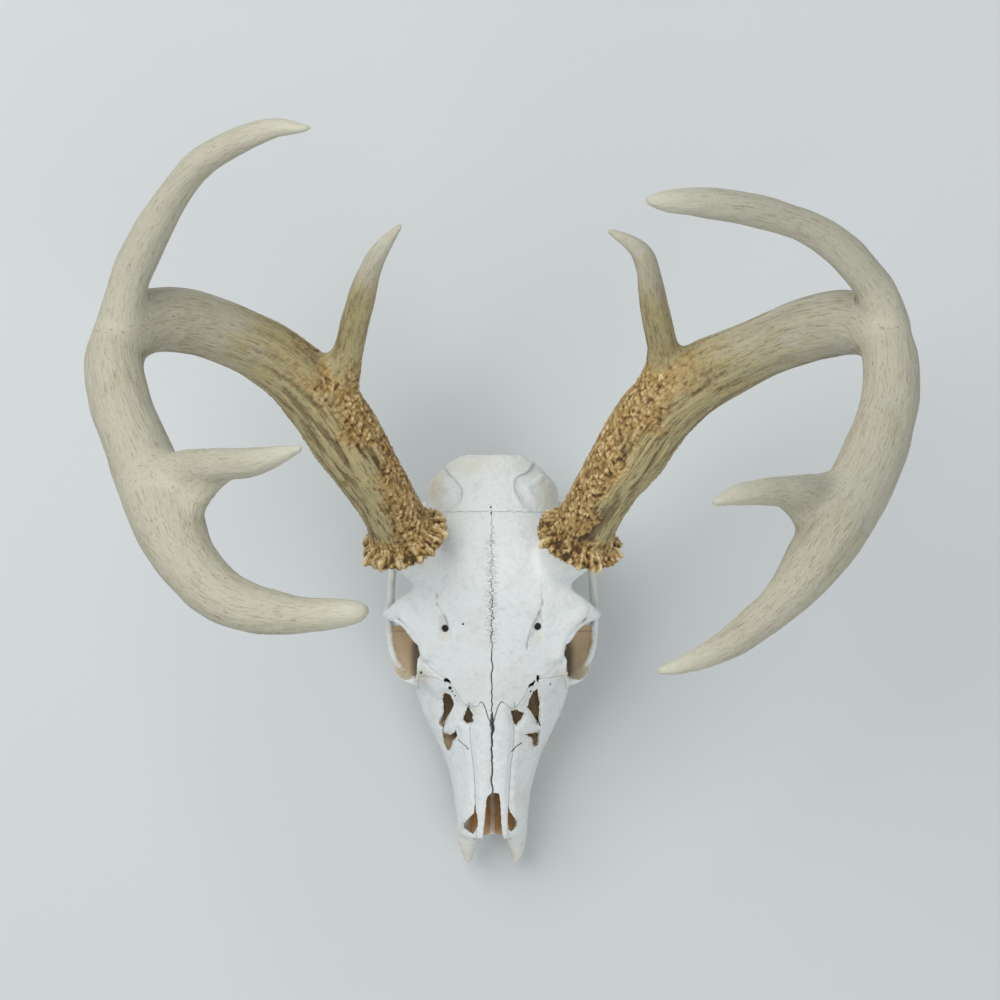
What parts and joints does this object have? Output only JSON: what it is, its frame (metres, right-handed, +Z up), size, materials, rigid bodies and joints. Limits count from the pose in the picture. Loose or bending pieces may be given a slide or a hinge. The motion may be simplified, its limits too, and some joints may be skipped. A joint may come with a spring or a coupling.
{
  "type": "white-tailed deer skull with antlers",
  "caption": "Cleaned buck skull without its lower jaw, with a pair of branched antlers, lying on its cheek teeth.",
  "frame": {"origin": "middle of the whole object's box, at floor level", "axes": "+Z up, the nose points to -Y and +X is the animal's left, along the spread of the antlers"},
  "size_m": [0.4316, 0.4128, 0.3913],
  "materials": {
    "bone": "matte",
    "antler_base": "matte",
    "antler_horn": "satin"
  },
  "bodies": {
    "root": {"braincase": "bone", "frontal_right": "bone", "nasal_right": "bone", "maxilla_right": "bone", "zygomatic_right": "bone", "frontal_left": "bone", "nasal_left": "bone", "maxilla_left": "bone", "zygomatic_left": "bone", "beam_base_right": "antler_base", "beam_mid_right": "antler_horn", "beam_front_right": "antler_horn", "beam_tip_right": "antler_horn", "brow_tine_right": "antler_base", "second_tine_right": "antler_horn", "third_tine_right": "antler_horn", "beam_base_left": "antler_base", "beam_mid_left": "antler_horn", "beam_front_left": "antler_horn", "beam_tip_left": "antler_horn", "brow_tine_left": "antler_base", "second_tine_left": "antler_horn", "third_tine_left": "antler_horn"}
  },
  "joints": []
}
